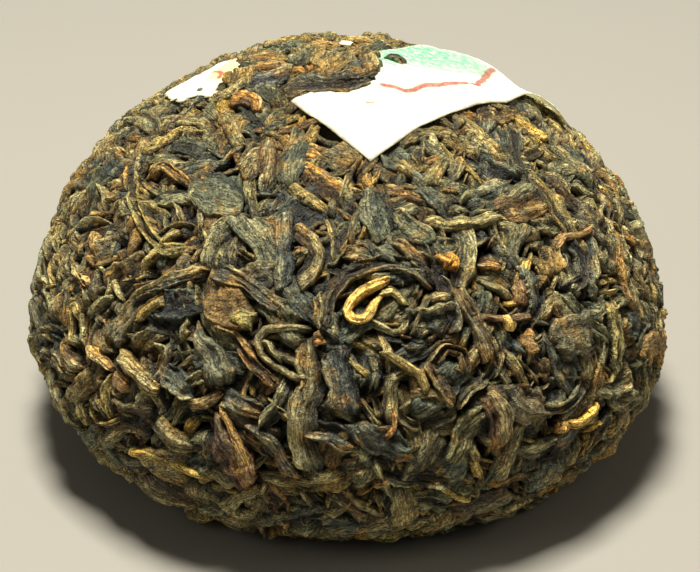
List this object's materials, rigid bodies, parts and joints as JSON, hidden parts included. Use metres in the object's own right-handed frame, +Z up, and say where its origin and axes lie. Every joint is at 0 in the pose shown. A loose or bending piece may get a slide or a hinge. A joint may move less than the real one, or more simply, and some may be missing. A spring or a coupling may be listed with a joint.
{
  "type": "pressed tea cake",
  "caption": "Dome-shaped nest of pressed dark tea leaves with a round hollow underneath and torn paper slips pressed into its crown.",
  "frame": {"origin": "at the foot, in the middle of the cake as seen from above", "axes": "+Z up out of the crown, -Y towards the viewer of the picture, where the paper ticket's sharp corner points down the front"},
  "size_m": [0.0836, 0.0828, 0.05],
  "materials": {
    "tea_leaves": "matte",
    "rice_paper": "matte"
  },
  "bodies": {
    "root": {"tea_cake": "tea_leaves", "paper_ticket": "rice_paper", "paper_scrap": "rice_paper", "paper_speck": "rice_paper"}
  },
  "joints": []
}
